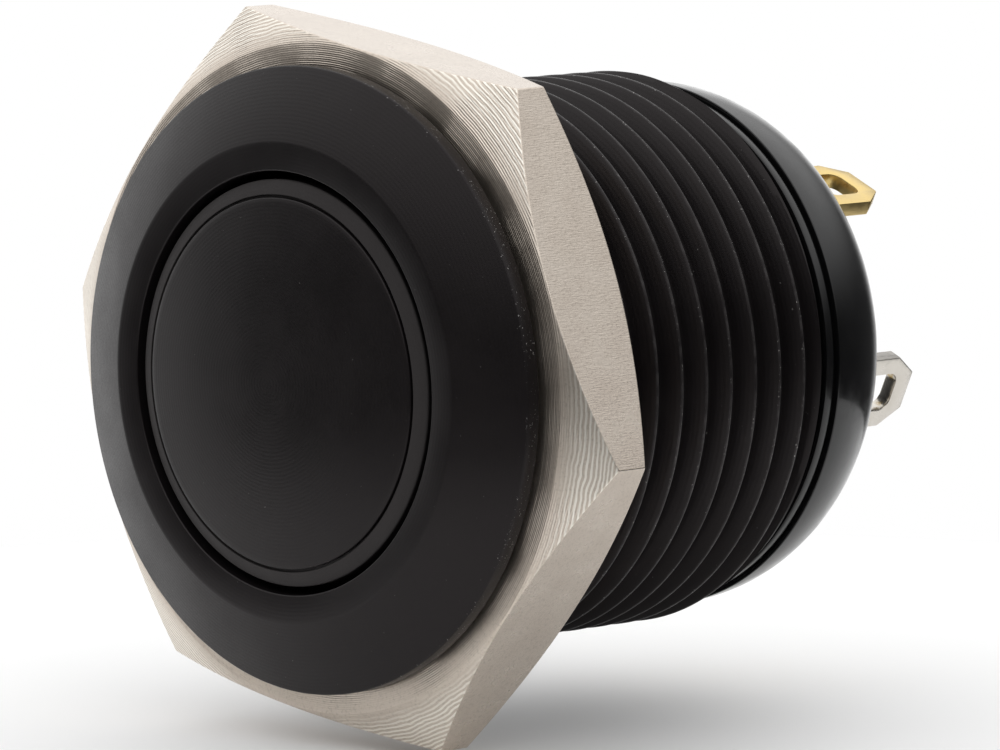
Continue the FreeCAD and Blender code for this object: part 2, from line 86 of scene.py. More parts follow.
BEZEL_FRONT = low("bushing", "y")
BEZEL_RADIUS = high("bushing", "x")
BARREL_END = high("bushing", "y")
NUT_FRONT = low("hex_nut", "y")
NUT_BACK = high("hex_nut", "y")
TAIL_END = high("rear_base", "y")
TAIL_RADIUS = high("rear_base", "x")
LUG_END = high("no_terminal_a", "y")
LAND_FRONT = low("no_terminal_a", "y")
LAND_BACK = low("rear_base", "y")
CAP_FRONT = low("button_cap", "y")
CAP_BACK = high("button_cap", "y")


# ---- mesh makers ----
def finish_piece(name, mesh, material, body, slot, *nodes, smooth_angle=32, flat_faces=False):
    """Turn a mesh in millimetres into a piece that rides on a body and stands for CAD nodes."""
    bmesh.ops.scale(mesh, vec=(MM, MM, MM), verts=mesh.verts)
    data = bpy.data.meshes.new(name)
    mesh.to_mesh(data)
    mesh.free()
    for polygon in data.polygons:
        polygon.use_smooth = True
    data.set_sharp_from_angle(angle=math.radians(smooth_angle))
    piece = bpy.data.objects.new(name, data)
    bpy.context.scene.collection.objects.link(piece)
    data.materials.append(material)
    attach(piece, body)
    if nodes:
        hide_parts(*nodes)
    if flat_faces:
        shading = piece.modifiers.new("even_shading", "WEIGHTED_NORMAL")
        shading.mode = "FACE_AREA"
        shading.weight = 50
        shading.keep_sharp = True
    return piece


def close_up(mesh):
    """Merge doubles and turn every face outwards."""
    bmesh.ops.remove_doubles(mesh, verts=mesh.verts, dist=MERGE_DISTANCE)
    face_outwards(mesh)


def face_outwards(mesh):
    """Turn every face of a closed mesh outwards."""
    bmesh.ops.recalc_face_normals(mesh, faces=mesh.faces)
    if mesh.calc_volume(signed=True) < 0:
        bmesh.ops.reverse_faces(mesh, faces=mesh.faces)


def draw_profile(mesh, points):
    """A chain of edges through (radius, place along the push axis)."""
    verts = [mesh.verts.new((radius, place, 0)) for radius, place in points]
    edges = [mesh.edges.new(pair) for pair in zip(verts, verts[1:])]
    return verts + edges


def turned(points, closed=True):
    """Turn a profile about the push axis."""
    mesh = bmesh.new()
    loop = points + points[:1] if closed else points
    profile = draw_profile(mesh, loop)
    bmesh.ops.spin(
        mesh, geom=profile, cent=(0, 0, 0), axis=(0, 1, 0), angle=math.tau,
        steps=TURN_STEPS, use_merge=True, use_duplicate=False,
    )
    close_up(mesh)
    return mesh


def ease(mesh, edges, width, segments=3):
    """Round edges over."""
    bmesh.ops.bevel(
        mesh, geom=list(edges), offset=width, offset_type="OFFSET", segments=segments,
        profile=0.5, affect="EDGES", clamp_overlap=True, material=-1,
    )


def radius_of(vert):
    return math.hypot(vert.co.x, vert.co.z)


def ring_edges(mesh, radius, place, reach=0.004):
    """The edges of one circle about the push axis."""
    def on_circle(vert):
        return abs(radius_of(vert) - radius) < reach and abs(vert.co.y - place) < reach
    return [edge for edge in mesh.edges if all(on_circle(vert) for vert in edge.verts)]


def sharp_edges(mesh, angle):
    """Edges where two faces meet at more than an angle in degrees."""
    limit = math.radians(angle)
    return [
        edge for edge in mesh.edges
        if len(edge.link_faces) == 2 and edge.calc_face_angle(0) > limit
    ]


def arc(centre, radius, start, end, steps):
    """Points of an arc in a profile, with angles in degrees from the radial direction."""
    points = []
    for step in range(steps + 1):
        angle = math.radians(start + (end - start) * step / steps)
        points.append((centre[0] + radius * math.cos(angle), centre[1] + radius * math.sin(angle)))
    return points


# ---- the bushing: bezel, threaded barrel and bore ----
THREAD_PHASE = 0.565
CREST_HALF = 0.045
ROOT_HALF = 0.125
FLANK_STEPS = 5
CREST_ROUND = 0.03
ROOT_ROUND = 0.03
ROOT_LAND_SHARE = 0.7
UNDERCUT_END = 0.42
RUN_OUT_SLOPE = 1.6
CHAMFER_SLOPE = 1.0
LIP_BACK = 1.3
BARREL_BORE = 6.4966
FRONT_BORE = 5.9496
FLAT_RADIUS = 6.7496
RIM_FRONT = -0.45


def thread_profile(start):
    """One turn's worth of thread, from root to root about a crest."""
    points = [
        (ROOT_RADIUS, -PITCH / 2),
        (ROOT_RADIUS, -PITCH / 2 + ROOT_HALF * ROOT_LAND_SHARE),
    ]
    foot = -PITCH / 2 + ROOT_HALF
    brow = -CREST_HALF
    top = THREAD_RADIUS
    for step in range(FLANK_STEPS + 1):
        share = step / FLANK_STEPS
        rise = ROOT_ROUND + share * (top - ROOT_RADIUS - ROOT_ROUND - CREST_ROUND)
        points.append((ROOT_RADIUS + rise, foot + share * (brow - 0.02 - foot)))
    points.append((top - 0.008, brow + 0.004))
    points.append((top, brow + 0.03))
    mirrored = [(radius, -place) for radius, place in reversed(points)]
    return [(radius, start + place) for radius, place in points + mirrored]


def thread_limit(place):
    """The thread's largest radius at a place: run-out behind the bezel, chamfer at the end."""
    run_out = ROOT_RADIUS + max(0.0, place - UNDERCUT_END) * RUN_OUT_SLOPE
    chamfer = ROOT_RADIUS + max(0.0, BARREL_END - place) * CHAMFER_SLOPE
    return min(THREAD_RADIUS, run_out, chamfer)


def extend(mesh, edges, radius, place):
    """Grow a new ring of faces from open edges, to a circle of its own."""
    grown = bmesh.ops.extrude_edge_only(mesh, edges=edges)["geom"]
    for vert in grown:
        if isinstance(vert, bmesh.types.BMVert):
            scale = radius / radius_of(vert)
            vert.co = Vector((vert.co.x * scale, place, vert.co.z * scale))
    return [edge for edge in grown if isinstance(edge, bmesh.types.BMEdge)
            and all(abs(vert.co.y - place) < 1e-6 for vert in edge.verts)
            and all(abs(radius_of(vert) - radius) < 1e-5 for vert in edge.verts)]


def make_bushing(material):
    mesh = bmesh.new()
    profile = draw_profile(mesh, thread_profile(THREAD_PHASE - 2 * PITCH))
    bmesh.ops.spin(
        mesh, geom=profile, cent=(0, 0, 0), axis=(0, 1, 0), angle=math.tau,
        dvec=(0, PITCH / TURN_STEPS, 0), steps=TURN_STEPS, use_duplicate=False,
    )
    first_turn = mesh.verts[:] + mesh.edges[:] + mesh.faces[:]
    for turn in range(1, math.ceil(BARREL_END / PITCH) + 3):
        copied = bmesh.ops.duplicate(mesh, geom=first_turn)["geom"]
        verts = [vert for vert in copied if isinstance(vert, bmesh.types.BMVert)]
        bmesh.ops.translate(mesh, vec=(0, turn * PITCH, 0), verts=verts)
    bmesh.ops.remove_doubles(mesh, verts=mesh.verts, dist=MERGE_DISTANCE)
    everything = mesh.verts[:] + mesh.edges[:] + mesh.faces[:]
    bmesh.ops.bisect_plane(
        mesh, geom=everything, plane_co=(0, 0, 0), plane_no=(0, -1, 0), clear_outer=True,
        dist=CUT_TOLERANCE,
    )
    everything = mesh.verts[:] + mesh.edges[:] + mesh.faces[:]
    bmesh.ops.bisect_plane(
        mesh, geom=everything, plane_co=(0, BARREL_END, 0), plane_no=(0, 1, 0),
        clear_outer=True, dist=CUT_TOLERANCE,
    )
    for vert in mesh.verts:
        scale = min(1.0, thread_limit(vert.co.y) / radius_of(vert))
        vert.co.x *= scale
        vert.co.z *= scale
    open_edges = [edge for edge in mesh.edges if edge.is_boundary]
    front = [edge for edge in open_edges if edge.verts[0].co.y < 1]
    back = [edge for edge in open_edges if edge.verts[0].co.y > 1]
    for radius, place in (
        (BEZEL_RADIUS, 0), (BEZEL_RADIUS, RIM_FRONT), (FLAT_RADIUS, BEZEL_FRONT),
        (FRONT_BORE, BEZEL_FRONT), (FRONT_BORE, LIP_BACK), (BARREL_BORE, LIP_BACK),
    ):
        front = extend(mesh, front, radius, place)
    back = extend(mesh, back, BARREL_BORE, BARREL_END)
    bmesh.ops.bridge_loops(mesh, edges=front + back)
    face_outwards(mesh)
    for radius, place, width in (
        (FLAT_RADIUS, BEZEL_FRONT, 0.06), (BEZEL_RADIUS, RIM_FRONT, 0.05),
        (FRONT_BORE, BEZEL_FRONT, 0.05), (BEZEL_RADIUS, 0, 0.04),
    ):
        ease(mesh, ring_edges(mesh, radius, place), width)
    return finish_piece(
        "bushing_body", mesh, material, "housing", "anodised_black", "bushing", flat_faces=True,
    )


# ---- the cap ----
CAP_RADIUS = 5.7196
DOME_RADIUS = 5.2196
CAP_RING_FRONT = -1.19
DOME_GROOVE_WIDTH = 0.08
DOME_GROOVE_DEPTH = 0.14
CONE_DROP = 0.03
DOME_RISE = 0.5
DOME_STEPS = 28
CAP_FLANGE = (1.35, 2.05)
CAP_FLANGE_RADIUS = 6.3466
CAP_GROOVE = (0.05, 1.1)
CAP_GROOVE_RADIUS = 4.9196
CAP_STEM_RADIUS = 1.3


def dome_profile():
    """The domed face, from its middle to its edge."""
    sphere = (DOME_RADIUS ** 2 + DOME_RISE ** 2) / (2 * DOME_RISE)
    centre = CAP_FRONT + sphere
    points = []
    for step in range(1, DOME_STEPS + 1):
        radius = DOME_RADIUS * step / DOME_STEPS
        points.append((radius, centre - math.sqrt(sphere ** 2 - radius ** 2)))
    return points


def make_button_cap(material):
    dome_edge = CAP_FRONT + DOME_RISE
    outline = [(0.0, CAP_FRONT)] + dome_profile() + [
        (DOME_RADIUS, dome_edge + DOME_GROOVE_DEPTH),
        (DOME_RADIUS + DOME_GROOVE_WIDTH, dome_edge + DOME_GROOVE_DEPTH),
        (DOME_RADIUS + DOME_GROOVE_WIDTH, dome_edge + CONE_DROP),
        (CAP_RADIUS, CAP_RING_FRONT),
        (CAP_RADIUS, CAP_GROOVE[0]),
        (CAP_GROOVE_RADIUS, CAP_GROOVE[0]),
        (CAP_GROOVE_RADIUS, CAP_GROOVE[1]),
        (CAP_RADIUS, CAP_GROOVE[1]),
        (CAP_RADIUS, CAP_FLANGE[0]),
        (CAP_FLANGE_RADIUS, CAP_FLANGE[0]),
        (CAP_FLANGE_RADIUS, CAP_FLANGE[1]),
        (CAP_STEM_RADIUS, CAP_FLANGE[1]),
        (CAP_STEM_RADIUS, CAP_BACK),
        (0.0, CAP_BACK),
    ]
    mesh = turned(outline, closed=False)
    ease(mesh, ring_edges(mesh, DOME_RADIUS, dome_edge), 0.04)
    ease(mesh, ring_edges(mesh, DOME_RADIUS + DOME_GROOVE_WIDTH, dome_edge + CONE_DROP), 0.02)
    ease(mesh, ring_edges(mesh, CAP_RADIUS, CAP_RING_FRONT), 0.04)
    return finish_piece(
        "button_cap_shell", mesh, material, "button", "anodised_cap", "button_cap", flat_faces=True,
    )


# ---- the nut and its gasket ----
NUT_FLAT = 9.5
NUT_FACE_RADIUS = 9.45
NUT_BORE = 8.05
NUT_LEAD_IN = 0.35
NUT_CHAMFER_SLOPE = 0.577
NUT_TURN = 9.1
NUT_BLANK_SPARE = 0.3


def make_hex_nut(material):
    outside = NUT_FLAT / math.cos(math.radians(30)) + NUT_BLANK_SPARE
    fall = (outside - NUT_FACE_RADIUS) * NUT_CHAMFER_SLOPE
    outline = [
        (NUT_BORE, NUT_FRONT + NUT_LEAD_IN),
        (NUT_BORE + NUT_LEAD_IN, NUT_FRONT),
        (NUT_FACE_RADIUS, NUT_FRONT),
        (outside, NUT_FRONT + fall),
        (outside, NUT_BACK - fall),
        (NUT_FACE_RADIUS, NUT_BACK),
        (NUT_BORE + NUT_LEAD_IN, NUT_BACK),
        (NUT_BORE, NUT_BACK - NUT_LEAD_IN),
    ]
    mesh = turned(outline)
    for side in range(6):
        angle = math.radians(60 * side + 30 - NUT_TURN)
        outward = Vector((math.cos(angle), 0, math.sin(angle)))
        everything = mesh.verts[:] + mesh.edges[:] + mesh.faces[:]
        cut = bmesh.ops.bisect_plane(
            mesh, geom=everything, plane_co=outward * NUT_FLAT, plane_no=outward,
            clear_outer=True, dist=CUT_TOLERANCE,
        )["geom_cut"]
        edges = [edge for edge in cut if isinstance(edge, bmesh.types.BMEdge)]
        bmesh.ops.holes_fill(mesh, edges=edges, sides=0)
    close_up(mesh)
    ease(mesh, sharp_edges(mesh, 12), 0.03, 2)
    return finish_piece(
        "nut_body", mesh, material, "nut", "nickel_plate", "hex_nut",
        smooth_angle=14, flat_faces=True,
    )


GASKET_WIDTH = 0.55


def make_panel_gasket(material):
    outer = high("panel_gasket", "x")
    inner = outer - GASKET_WIDTH
    front = low("panel_gasket", "y")
    back = high("panel_gasket", "y")
    mesh = turned([(inner, front), (outer, front), (outer, back), (inner, back)])
    ease(mesh, sharp_edges(mesh, 40), 0.04)
    return finish_piece("gasket_ring", mesh, material, "housing", "rubber_black", "panel_gasket")


# ---- the rear base ----
BASE_PLUG_RADIUS = 6.4466
BASE_LIP_RADIUS = 7.55
BASE_LIP = (13.0, 13.3)
BASE_GROOVE_RADIUS = 7.43
TAIL_FRONT = 13.42
TAIL_LAND = 0.04
BASE_SEAL_GROOVE = (11.42, 12.27)
BASE_SEAL_BOTTOM = 5.6766
BASE_CAVITY = 3.5466
GUIDE = (14.39, 16.69)
GUIDE_RADIUS = 1.45
GOLD_RADIUS = 4.7966
SILVER_RADIUS = 4.0966
LUG_THICKNESS = 0.45
LUG_HALF_WIDTH = 1.15
SLOT_CLEARANCE = 0.03
SLOT_LENGTH = 12
SLOT_MIDDLE = 15


def make_rear_base(material):
    rounding = TAIL_END - TAIL_FRONT - TAIL_LAND
    shoulder = arc((TAIL_RADIUS - rounding, TAIL_END - rounding), rounding, 0, 90, 26)
    outline = [
        (0.0, GUIDE[1]),
        (GUIDE_RADIUS, GUIDE[1]),
        (GUIDE_RADIUS, GUIDE[0]),
        (BASE_CAVITY, GUIDE[0]),
        (BASE_CAVITY, LAND_BACK),
        (BASE_PLUG_RADIUS, LAND_BACK),
        (BASE_PLUG_RADIUS, BASE_SEAL_GROOVE[0]),
        (BASE_SEAL_BOTTOM, BASE_SEAL_GROOVE[0]),
        (BASE_SEAL_BOTTOM, BASE_SEAL_GROOVE[1]),
        (BASE_PLUG_RADIUS, BASE_SEAL_GROOVE[1]),
        (BASE_PLUG_RADIUS, BASE_LIP[0]),
        (BASE_LIP_RADIUS, BASE_LIP[0]),
        (BASE_LIP_RADIUS, BASE_LIP[1]),
        (BASE_GROOVE_RADIUS, BASE_LIP[1]),
        (BASE_GROOVE_RADIUS, TAIL_FRONT),
        (TAIL_RADIUS, TAIL_FRONT),
    ] + shoulder + [(0.0, TAIL_END)]
    mesh = turned(outline, closed=False)
    ease(mesh, ring_edges(mesh, BASE_LIP_RADIUS, BASE_LIP[0]), 0.05)
    ease(mesh, ring_edges(mesh, BASE_LIP_RADIUS, BASE_LIP[1]), 0.05)
    ease(mesh, ring_edges(mesh, TAIL_RADIUS, TAIL_FRONT), 0.03)
    mesh = cut_away(mesh, blade_cutter())
    return finish_piece("base_body", mesh, material, "housing", "gloss_black", "rear_base")


def blade_cutter():
    """Four bars where the terminal blades stand."""
    mesh = bmesh.new()
    depth = LUG_THICKNESS + 2 * SLOT_CLEARANCE
    width = 2 * (LUG_HALF_WIDTH + SLOT_CLEARANCE)
    for quarter, lug_radius in enumerate((GOLD_RADIUS, SILVER_RADIUS) * 2):
        made = bmesh.ops.create_cube(mesh, size=1)["verts"]
        bmesh.ops.scale(mesh, vec=(width, SLOT_LENGTH, depth), verts=made)
        middle = (0, SLOT_MIDDLE, lug_radius - LUG_THICKNESS / 2)
        bmesh.ops.translate(mesh, vec=middle, verts=made)
        turn = Matrix.Rotation(math.radians(TERMINAL_TURN + 90 * quarter), 3, "Y")
        bmesh.ops.rotate(mesh, cent=(0, 0, 0), matrix=turn, verts=made)
    return mesh


def loose_object(name, mesh):
    data = bpy.data.meshes.new(name)
    mesh.to_mesh(data)
    mesh.free()
    thing = bpy.data.objects.new(name, data)
    bpy.context.scene.collection.objects.link(thing)
    return thing


def cut_away(mesh, cutter_mesh):
    """Cut one mesh out of another."""
    kept = loose_object("kept", mesh)
    cutter = loose_object("cutter", cutter_mesh)
    boolean = kept.modifiers.new("cut", "BOOLEAN")
    boolean.object = cutter
    boolean.operation = "DIFFERENCE"
    boolean.solver = "FAST"
    bpy.context.view_layer.update()
    graph = bpy.context.evaluated_depsgraph_get()
    result = bmesh.new()
    result.from_object(kept, graph)
    bpy.data.objects.remove(kept)
    bpy.data.objects.remove(cutter)
    return result


# ---- the solder lugs ----
LUG_TIP_HALF = 0.6
LUG_TIP_LENGTH = 0.8
EYE_HALF = 0.6
EYE_LENGTH = 1.35
EYE_MARGIN = 0.62
EYE_CORNER = 0.35
LAND_INNER = 2.05


def closed_chain(mesh, points):
    verts = [mesh.verts.new(point) for point in points]
    return [mesh.edges.new(pair) for pair in zip(verts, verts[1:] + verts[:1])]


def eye_outline(height):
    """The rounded opening of a lug, seen from outside."""
    back = LUG_END - EYE_MARGIN
    front = back - EYE_LENGTH
    reach = EYE_HALF - EYE_CORNER
    points = []
    for centre_x, centre_y, start in (
        (reach, back - EYE_CORNER, 0), (-reach, back - EYE_CORNER, 90),
        (-reach, front + EYE_CORNER, 180), (reach, front + EYE_CORNER, 270),
    ):
        corner = arc((centre_x, centre_y), EYE_CORNER, start, start + 90, 7)
        points += [(x, y, height) for x, y in corner]
    return points


def make_terminal(name, node, lug_radius, turn_angle, material, slot):
    """Blade with its eye and bevelled end, and the contact land bent inwards inside."""
    mesh = bmesh.new()
    side = LUG_HALF_WIDTH
    base = lug_radius - LUG_THICKNESS
    outline = [
        (-side, LAND_BACK, base), (side, LAND_BACK, base),
        (side, LUG_END - LUG_TIP_LENGTH, base), (LUG_TIP_HALF, LUG_END, base),
        (-LUG_TIP_HALF, LUG_END, base), (-side, LUG_END - LUG_TIP_LENGTH, base),
    ]
    edges = closed_chain(mesh, outline) + closed_chain(mesh, eye_outline(base))
    bmesh.ops.triangle_fill(mesh, edges=edges, use_beauty=True, use_dissolve=False)
    bend = [
        edge for edge in mesh.edges
        if all(abs(vert.co.y - LAND_BACK) < 1e-6 for vert in edge.verts)
    ]
    strip = bmesh.ops.extrude_edge_only(mesh, edges=bend)["geom"]
    moved = [vert for vert in strip if isinstance(vert, bmesh.types.BMVert)]
    bmesh.ops.translate(mesh, vec=(0, LAND_FRONT - LAND_BACK, 0), verts=moved)
    bmesh.ops.recalc_face_normals(mesh, faces=mesh.faces)
    slab = bmesh.ops.extrude_face_region(mesh, geom=mesh.faces[:])["geom"]
    raised = [vert for vert in slab if isinstance(vert, bmesh.types.BMVert)]
    bmesh.ops.translate(mesh, vec=(0, 0, LUG_THICKNESS), verts=raised)
    under = [
        face for face in mesh.faces
        if all(vert.co.y < LAND_BACK + 1e-6 and abs(vert.co.z - base) < 1e-6 for vert in face.verts)
    ]
    land = bmesh.ops.extrude_face_region(mesh, geom=under)["geom"]
    bmesh.ops.delete(mesh, geom=under, context="FACES_ONLY")
    lowered = [vert for vert in land if isinstance(vert, bmesh.types.BMVert)]
    bmesh.ops.translate(mesh, vec=(0, 0, LAND_INNER - base), verts=lowered)
    close_up(mesh)
    ease(mesh, sharp_edges(mesh, 35), 0.04, 2)
    turn = Matrix.Rotation(math.radians(turn_angle), 3, "Y")
    bmesh.ops.rotate(mesh, cent=(0, 0, 0), matrix=turn, verts=mesh.verts)
    return finish_piece(name, mesh, material, "housing", slot, node)


# ---- springs ----
WIRE_SIDES = 14
SPRING_STEPS = 56


def make_spring(name, node, body, wire, coils, material):
    """Round wire wound about the push axis, ends cut flat."""
    front = low(node, "y") + wire / 2
    back = high(node, "y") - wire / 2
    mean = high(node, "x") - wire / 2
    mesh = bmesh.new()
    around = Matrix.Translation((mean, front, 0))
    made = bmesh.ops.create_circle(
        mesh, cap_ends=True, segments=WIRE_SIDES, radius=wire / 2, matrix=around
    )["verts"]
    section = list({edge for vert in made for edge in vert.link_edges})
    steps = int(SPRING_STEPS * coils)
    swept = bmesh.ops.spin(
        mesh, geom=made + section, cent=(0, 0, 0), axis=(0, 1, 0), angle=math.tau * coils,
        dvec=(0, (back - front) / steps, 0), steps=steps, use_duplicate=False,
    )["geom_last"]
    last = [edge for edge in swept if isinstance(edge, bmesh.types.BMEdge)]
    bmesh.ops.contextual_create(mesh, geom=last)
    close_up(mesh)
    return finish_piece(name, mesh, material, body, "spring_steel", node)


# ---- finishes ----
def shade(red, green, blue):
    """Linear colour from 0 to 255 display values."""
    def linear(amount):
        share = amount / 255
        return share / 12.92 if share <= 0.04045 else ((share + 0.055) / 1.055) ** 2.4
    return (linear(red), linear(green), linear(blue), 1)


class Finish:
    """A material in the making: the tree of one surface finish, in object space."""

    def __init__(self, name, **settings):
        self.material = bpy.data.materials.new(name)
        self.material.use_nodes = True
        self.tree = self.material.node_tree
        self.shader = self.tree.nodes["Principled BSDF"]
        for socket, amount in settings.items():
            self.shader.inputs[socket.replace("_", " ")].default_value = amount
        self.place = self.add("ShaderNodeTexCoord").outputs["Object"]

    def add(self, kind, **settings):
        node = self.tree.nodes.new(kind)
        for name, amount in settings.items():
            setattr(node, name, amount)
        return node

    def feed(self, socket, source):
        """Link a source into a socket, or set the socket to a plain value."""
        if isinstance(source, bpy.types.NodeSocket):
            self.tree.links.new(source, socket)
        else:
            socket.default_value = source

    def sum(self, operation, *sources, clamp=False):
        node = self.add("ShaderNodeMath", operation=operation, use_clamp=clamp)
        for socket, source in zip(node.inputs, sources):
            self.feed(socket, source)
        return node.outputs[0]

    def stretched(self, across, along):
        """Object place with the push axis scaled apart from the other two."""
        node = self.add("ShaderNodeMapping")
        self.feed(node.inputs["Vector"], self.place)
        node.inputs["Scale"].default_value = (across, along, across)
        return node.outputs[0]

    def noise(self, size, detail=3.0, roughness=0.55, place=None):
        """Cloudy pattern with features of about a size in millimetres."""
        node = self.add("ShaderNodeTexNoise")
        self.feed(node.inputs["Vector"], place or self.place)
        node.inputs["Scale"].default_value = 1 / (size * MM)
        node.inputs["Detail"].default_value = detail
        node.inputs["Roughness"].default_value = roughness
        return node.outputs["Fac"]

    def rings(self, spacing, distortion=0.0):
        """Tool marks in circles about the push axis, a spacing apart in millimetres."""
        node = self.add("ShaderNodeTexWave", wave_type="RINGS", rings_direction="Y")
        self.feed(node.inputs["Vector"], self.place)
        node.inputs["Scale"].default_value = math.tau / (20 * spacing * MM)
        node.inputs["Distortion"].default_value = distortion
        node.inputs["Detail"].default_value = 2
        node.inputs["Detail Scale"].default_value = 0.4
        return node.outputs["Fac"]

    def axis_place(self):
        """Distance along the push axis, in millimetres."""
        node = self.add("ShaderNodeSeparateXYZ")
        self.feed(node.inputs[0], self.place)
        return self.sum("DIVIDE", node.outputs["Y"], MM)

    def radius(self):
        """Distance from the push axis, in millimetres."""
        node = self.add("ShaderNodeSeparateXYZ")
        self.feed(node.inputs[0], self.place)
        across = self.sum("POWER", node.outputs["X"], 2.0)
        up = self.sum("POWER", node.outputs["Z"], 2.0)
        return self.sum("DIVIDE", self.sum("SQRT", self.sum("ADD", across, up)), MM)

    def facing(self, axis):
        """How far the surface faces along an axis of the object, from -1 to 1."""
        node = self.add("ShaderNodeSeparateXYZ")
        self.feed(node.inputs[0], self.add("ShaderNodeNewGeometry").outputs["Normal"])
        return node.outputs[axis]

    def span(self, source, start, end, low_value=0.0, high_value=1.0):
        """Smooth change from one value to another as the source goes from start to end."""
        node = self.add("ShaderNodeMapRange", interpolation_type="SMOOTHSTEP")
        amounts = (source, start, end, low_value, high_value)
        for name, amount in zip(("Value", "From Min", "From Max", "To Min", "To Max"), amounts):
            self.feed(node.inputs[name], amount)
        return node.outputs[0]

    def blend(self, share, first, second):
        """Colour between two colours."""
        node = self.add("ShaderNodeMix", data_type="RGBA")
        self.feed(node.inputs[0], share)
        self.feed(node.inputs[6], first)
        self.feed(node.inputs[7], second)
        return node.outputs[2]

    def relief(self, height, depth, under=None):
        """Bump of a height pattern, a depth in millimetres."""
        node = self.add("ShaderNodeBump")
        self.feed(node.inputs["Height"], height)
        node.inputs["Distance"].default_value = depth * MM
        if under:
            self.feed(node.inputs["Normal"], under)
        return node.outputs[0]

    def set(self, **sources):
        for name, source in sources.items():
            self.feed(self.shader.inputs[name.replace("_", " ")], source)


WARM_BLACK = (1.0, 0.92, 0.92, 1)
RING_INNER_FADE = (5.22, 5.27)
RING_BACK_FADE = (-1.1, -1.18)


def black_anodise(name, wear):
    """Satin black anodised aluminium, finely turned, with bare specks where it is handled; on the
    bushing the thread crests are greyed, partly as wear and partly as a painted highlight.
    """
    finish = Finish(name, Metallic=0.0, IOR=1.5, Specular_IOR_Level=0.27, Specular_Tint=WARM_BLACK)
    cloud = finish.noise(2.2, 4)
    grain = finish.noise(0.05, 2)
    marks = finish.rings(0.11, 1.5)
    base = finish.blend(cloud, shade(13, 11, 12), shade(20, 17, 18))
    specks = finish.span(finish.noise(0.06, 3, 0.7), 0.64, 0.70)
    patches = finish.span(finish.noise(0.9, 2), 0.42, 0.58)
    dust = finish.span(finish.noise(0.11, 2, 0.5), 0.76, 0.8)
    base = finish.blend(finish.sum("MULTIPLY", dust, 0.5), base, shade(120, 118, 116))
    radius = finish.radius()
    if wear == "bushing":
        crest = finish.span(radius, 7.97, 7.995)
        off_bezel = finish.span(finish.axis_place(), 0.0, 0.2)
        on_crest = finish.sum("MULTIPLY", crest, off_bezel)
        rim = finish.span(radius, 8.78, 8.84)
        edge = finish.sum("MAXIMUM", on_crest, rim, clamp=True)
        # Thread crests greyed: partly wear, partly a painted highlight along each crest.
        crest_wear_and_sheen = finish.sum("MULTIPLY", on_crest, finish.span(finish.noise(0.5, 3), 0.35, 0.75))
        base = finish.blend(finish.sum("MULTIPLY", crest_wear_and_sheen, 0.35), base, shade(84, 82, 82))
        bare = finish.sum("MULTIPLY", finish.sum("MULTIPLY", specks, edge), patches)
        base = finish.blend(bare, base, shade(205, 203, 200))
    gloss = finish.span(finish.sum("ADD", grain, cloud), 0.6, 1.4, 0.3, 0.44)
    if wear == "cap":
        in_ring = finish.sum(
            "MULTIPLY",
            finish.span(radius, *RING_INNER_FADE),
            finish.span(finish.axis_place(), *RING_BACK_FADE),
        )
        base = finish.blend(in_ring, base, shade(48, 46, 46))
        gloss = finish.sum("ADD", gloss, finish.sum("MULTIPLY", in_ring, 0.3))
    finish.set(
        Base_Color=base,
        Roughness=gloss,
        Normal=finish.relief(grain, 0.0016, finish.relief(marks, 0.0008)),
    )
    return finish.material


def nickel(name):
    """Nickel plate over a turned face and ground flats, with fine scratches, and painted glint
    streaks whitening the chamfer near the corners.
    """
    finish = Finish(name, Metallic=1.0)
    facing = finish.facing("Y")
    on_face = finish.span(finish.sum("ABSOLUTE", facing), 0.35, 0.7)
    cloud = finish.noise(1.3, 5, 0.6)
    mottle = finish.noise(0.09, 4, 0.65)
    scratches = finish.noise(0.035, 3, 0.6, place=finish.stretched(1.0, 0.12))
    marks = finish.rings(0.16, 3.0)
    fine_marks = finish.rings(0.06, 2.0)
    base = finish.blend(cloud, shade(196, 183, 170), shade(222, 212, 200))
    stain = finish.span(mottle, 0.48, 0.72)
    base = finish.blend(finish.sum("MULTIPLY", stain, 0.35), base, shade(150, 140, 128))
    # Painted highlight: near the corners the chamfer is whitened in streaks to stand in for glints.
    corner = finish.sum("MULTIPLY", finish.span(finish.radius(), 9.4, 10.1), on_face)
    glint_streaks = finish.span(finish.rings(0.11, 6.0), 0.35, 0.75)
    bright = finish.sum("MULTIPLY", finish.sum("MULTIPLY", corner, glint_streaks), 0.8)
    base = finish.blend(bright, base, shade(254, 250, 240))
    turned_height = finish.sum(
        "MULTIPLY",
        finish.sum("ADD", finish.sum("MULTIPLY", marks, 0.5), fine_marks),
        finish.span(finish.noise(2.6, 3), 0.36, 0.64, 0.15, 1.0),
    )
    ground_height = finish.sum("ADD", finish.sum("MULTIPLY", mottle, 0.5), scratches)
    finish.set(
        Base_Color=base,
        Roughness=finish.span(finish.sum("ADD", cloud, on_face), 0.3, 1.7, 0.26, 0.4),
        Normal=finish.relief(
            finish.sum("MULTIPLY", turned_height, on_face), 0.008,
            finish.relief(
                finish.sum("MULTIPLY", ground_height, finish.sum("SUBTRACT", 1.0, on_face)), 0.005,
            ),
        ),
    )
    return finish.material


def rubber(name):
    """Matt black nitrile rubber."""
    finish = Finish(name, IOR=1.5)
    grain = finish.noise(0.08, 3)
    finish.set(
        Base_Color=finish.blend(finish.noise(0.8), shade(17, 17, 17), shade(30, 30, 30)),
        Roughness=finish.span(grain, 0.3, 0.7, 0.55, 0.75),
        Normal=finish.relief(grain, 0.004),
    )
    return finish.material


